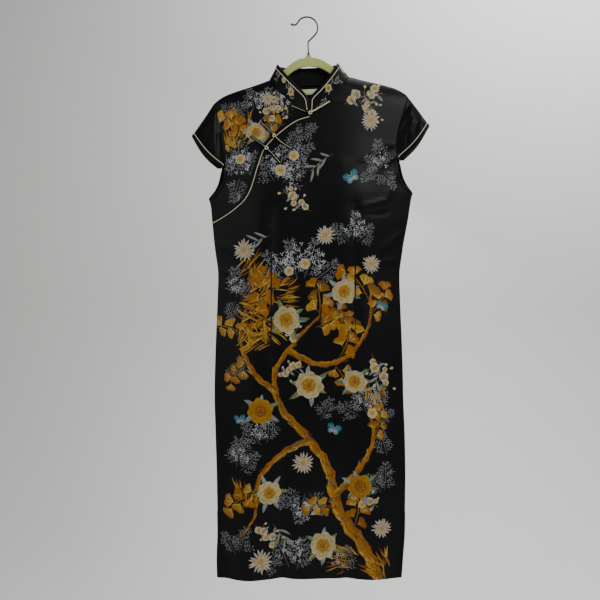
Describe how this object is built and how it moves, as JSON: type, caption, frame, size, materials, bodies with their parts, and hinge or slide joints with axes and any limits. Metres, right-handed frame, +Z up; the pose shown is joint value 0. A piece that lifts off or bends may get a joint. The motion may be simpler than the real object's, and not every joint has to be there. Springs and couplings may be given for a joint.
{
  "type": "cheongsam dress on hanger",
  "caption": "Knee-length cheongsam with cap sleeves, stand collar, diagonal lapped front, knot frogs and side slits, hanging flat on a slim flocked hanger with a wire hook.",
  "frame": {"origin": "inside top of the hanger's hook, where the peg carries it", "axes": "+Z up, +X to the wearer's left along the shoulders, the front of the dress faces -Y"},
  "size_m": [0.5124, 0.0605, 1.2036],
  "materials": {
    "printed_satin": "smooth satin with a print",
    "black_satin": "smooth satin",
    "cream_piping": "satin cord",
    "hanger_flock": "flocked",
    "hook_steel": "polished wire"
  },
  "bodies": {
    "root": {"armhole_left_back_binding": "black_satin", "armhole_left_front_binding": "black_satin", "armhole_right_back_binding": "black_satin", "armhole_right_front_binding": "black_satin", "back_panel": "printed_satin", "collar": "printed_satin", "collar_binding": "black_satin", "collar_piping": "cream_piping", "flap_binding": "black_satin", "flap_piping": "cream_piping", "frog_chest_knot_half": "black_satin", "frog_chest_loop_half": "black_satin", "frog_neck_knot_half": "black_satin", "frog_neck_loop_half": "black_satin", "frog_side_knot_half": "black_satin", "frog_side_loop_half": "black_satin", "front_panel": "printed_satin", "front_underlap": "printed_satin", "hanger_body": "hanger_flock", "hanger_hook": "hook_steel", "sleeve_left": "printed_satin", "sleeve_left_binding": "black_satin", "sleeve_left_piping": "cream_piping", "sleeve_right": "printed_satin", "sleeve_right_binding": "black_satin", "sleeve_right_piping": "cream_piping", "slit_left_back_binding": "black_satin", "slit_left_front_binding": "black_satin", "slit_right_back_binding": "black_satin", "slit_right_front_binding": "black_satin"}
  },
  "joints": []
}
